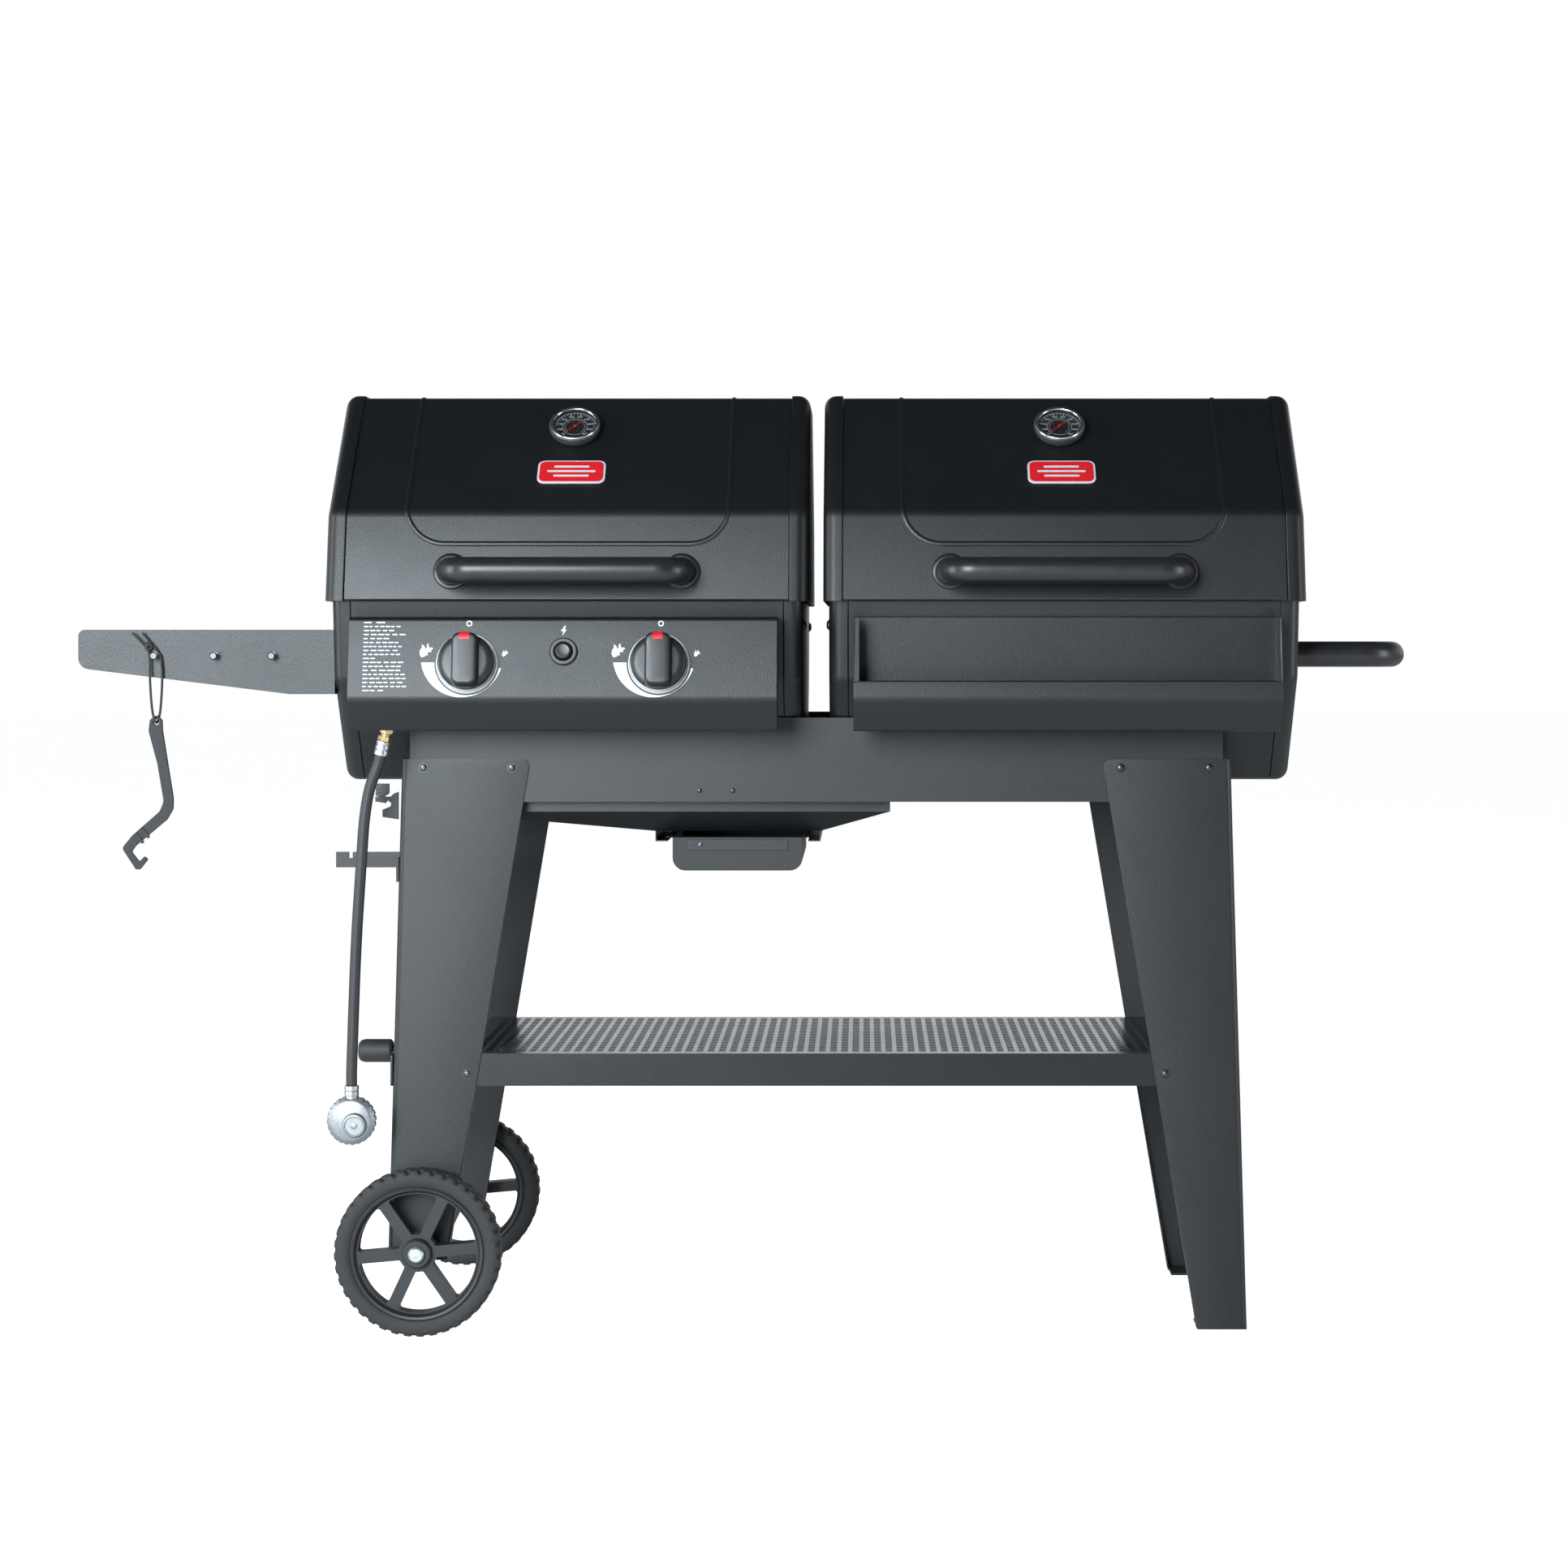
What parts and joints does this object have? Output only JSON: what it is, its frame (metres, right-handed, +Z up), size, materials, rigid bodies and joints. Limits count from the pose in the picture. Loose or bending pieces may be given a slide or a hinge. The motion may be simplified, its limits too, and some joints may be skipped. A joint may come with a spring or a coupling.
{
  "type": "combination grill",
  "caption": "Gas and charcoal grill barrels side by side on a wheeled sheet-steel cart, with hinged lids, control knobs, side shelf, front tray, drip pan and gas hose.",
  "frame": {"origin": "on the floor, under the middle of the whole footprint", "axes": "+X to the right seen from the front, +Y to the back, +Z up"},
  "size_m": [1.645, 0.6434, 1.16],
  "materials": {
    "black_powder_coat": "satin black fine-textured powder coat",
    "black_tube": "satin black paint on tube",
    "wheel_plastic": "moulded black plastic",
    "knob_plastic": "satin black plastic",
    "bright_steel": "bright steel",
    "cast_iron": "matt black cast iron",
    "galvanised_steel": "zinc-plated steel",
    "brass": "machined brass",
    "zinc_casting": "grey zinc casting",
    "hose_rubber": "matt black rubber",
    "needle_red": "red paint",
    "lanyard_cord": "dark braided cord"
  },
  "bodies": {
    "cart": {"bottom_shelf": "black_powder_coat", "burner": "bright_steel", "charcoal_cooking_grate": "cast_iron", "charcoal_hinge": "bright_steel", "charcoal_tub": "black_powder_coat", "charcoal_tub_end_left": "black_powder_coat", "charcoal_tub_end_right": "black_powder_coat", "charcoal_warming_rack": "bright_steel", "control_panel": "black_powder_coat", "end_rail_left": "black_powder_coat", "end_rail_right": "black_powder_coat", "fire_grate": "cast_iron", "flame_tamer": "cast_iron", "front_apron": "black_powder_coat", "front_tray": "black_powder_coat", "gas_cooking_grate": "cast_iron", "gas_hinge": "bright_steel", "gas_hose": "hose_rubber", "gas_manifold": "galvanised_steel", "gas_tub": "black_powder_coat", "gas_tub_end_left": "black_powder_coat", "gas_tub_end_right": "black_powder_coat", "gas_warming_rack": "bright_steel", "grease_tray": "black_powder_coat", "hose_fitting": "brass", "leg_front_left": "black_powder_coat", "leg_front_right": "black_powder_coat", "leg_rear_left": "black_powder_coat", "leg_rear_right": "black_powder_coat", "rear_apron": "black_powder_coat", "regulator": "zinc_casting", "side_handle": "black_tube", "side_shelf": "black_powder_coat", "tank_hanger": "black_powder_coat", "tank_rest": "black_powder_coat", "wheel_axle": "galvanised_steel"},
    "gas_lid": {"gas_lid": "black_powder_coat", "gas_lid_end_left": "black_powder_coat", "gas_lid_end_right": "black_powder_coat", "gas_lid_handle": "black_tube", "gas_thermometer": "bright_steel"},
    "charcoal_lid": {"charcoal_lid": "black_powder_coat", "charcoal_lid_end_left": "black_powder_coat", "charcoal_lid_end_right": "black_powder_coat", "charcoal_lid_handle": "black_tube", "charcoal_thermometer": "bright_steel"},
    "gas_needle": {"gas_thermometer_needle": "needle_red"},
    "charcoal_needle": {"charcoal_thermometer_needle": "needle_red"},
    "wheel_front": {"wheel_front": "wheel_plastic"},
    "wheel_rear": {"wheel_rear": "wheel_plastic"},
    "stem_left": {"valve_stem_left": "bright_steel"},
    "stem_right": {"valve_stem_right": "bright_steel"},
    "knob_left": {"knob_left": "knob_plastic"},
    "knob_right": {"knob_right": "knob_plastic"},
    "igniter_button": {"igniter_button": "knob_plastic"},
    "drip_pan": {"drip_pan": "black_powder_coat"},
    "air_damper": {"air_damper": "black_powder_coat"},
    "grate_lifter": {"grate_lifter": "cast_iron", "lanyard": "lanyard_cord"},
    "coupling_nut": {"coupling_nut": "knob_plastic"}
  },
  "joints": [
    {"name": "gas_lid_hinge", "type": "hinge", "parent": "cart", "child": "gas_lid", "pos_m": [-0.22046, 0.31366, 0.892], "axis": [-1, 0, 0], "range_deg": [0, 95]},
    {"name": "gas_needle_turn", "type": "hinge", "parent": "gas_lid", "child": "gas_needle", "pos_m": [-0.22046, -0.11617, 1.11687], "axis": [0, 0.6955, -0.7185], "range_deg": [0, 270]},
    {"name": "charcoal_lid_hinge", "type": "hinge", "parent": "cart", "child": "charcoal_lid", "pos_m": [0.38554, 0.31366, 0.892], "axis": [-1, 0, 0], "range_deg": [0, 95]},
    {"name": "charcoal_needle_turn", "type": "hinge", "parent": "charcoal_lid", "child": "charcoal_needle", "pos_m": [0.38554, -0.11617, 1.11687], "axis": [0, 0.6955, -0.7185], "range_deg": [0, 270]},
    {"name": "wheel_front_spin", "type": "hinge", "parent": "cart", "child": "wheel_front", "pos_m": [-0.40346, -0.21414, 0.1016], "axis": [0, 1, 0], "continuous": true},
    {"name": "wheel_rear_spin", "type": "hinge", "parent": "cart", "child": "wheel_rear", "pos_m": [-0.40346, 0.27146, 0.1016], "axis": [0, 1, 0], "continuous": true},
    {"name": "knob_left_push", "type": "slide", "parent": "cart", "child": "stem_left", "axis": [0, 0.9802, -0.198], "range_m": [0, 0.004], "stiffness_N_per_m": 300, "springref_m": -0.002},
    {"name": "knob_left_turn", "type": "hinge", "parent": "stem_left", "child": "knob_left", "pos_m": [-0.33646, -0.28952, 0.82239], "axis": [0, -0.9802, 0.198], "range_deg": [0, 270]},
    {"name": "knob_right_push", "type": "slide", "parent": "cart", "child": "stem_right", "axis": [0, 0.9802, -0.198], "range_m": [0, 0.004], "stiffness_N_per_m": 300, "springref_m": -0.002},
    {"name": "knob_right_turn", "type": "hinge", "parent": "stem_right", "child": "knob_right", "pos_m": [-0.10546, -0.28952, 0.82239], "axis": [0, -0.9802, 0.198], "range_deg": [0, 270]},
    {"name": "igniter_push", "type": "slide", "parent": "cart", "child": "igniter_button", "axis": [0, 0.9802, -0.198], "range_m": [0, 0.005], "stiffness_N_per_m": 300, "springref_m": -0.002},
    {"name": "drip_pan_slide", "type": "slide", "parent": "cart", "child": "drip_pan", "axis": [0, -1, 0], "range_m": [0, 0.15]},
    {"name": "air_damper_turn", "type": "hinge", "parent": "cart", "child": "air_damper", "pos_m": [0.67284, 0.02866, 0.76], "axis": [1, 0, 0], "range_deg": [0, 60]},
    {"name": "lifter_swing", "type": "hinge", "parent": "cart", "child": "grate_lifter", "pos_m": [-0.72746, -0.20834, 0.83], "axis": [0, 1, 0], "range_deg": [-20, 20]},
    {"name": "coupling_nut_spin", "type": "hinge", "parent": "cart", "child": "coupling_nut", "pos_m": [-0.49446, -0.21504, 0.252], "axis": [0, 1, 0], "continuous": true}
  ]
}
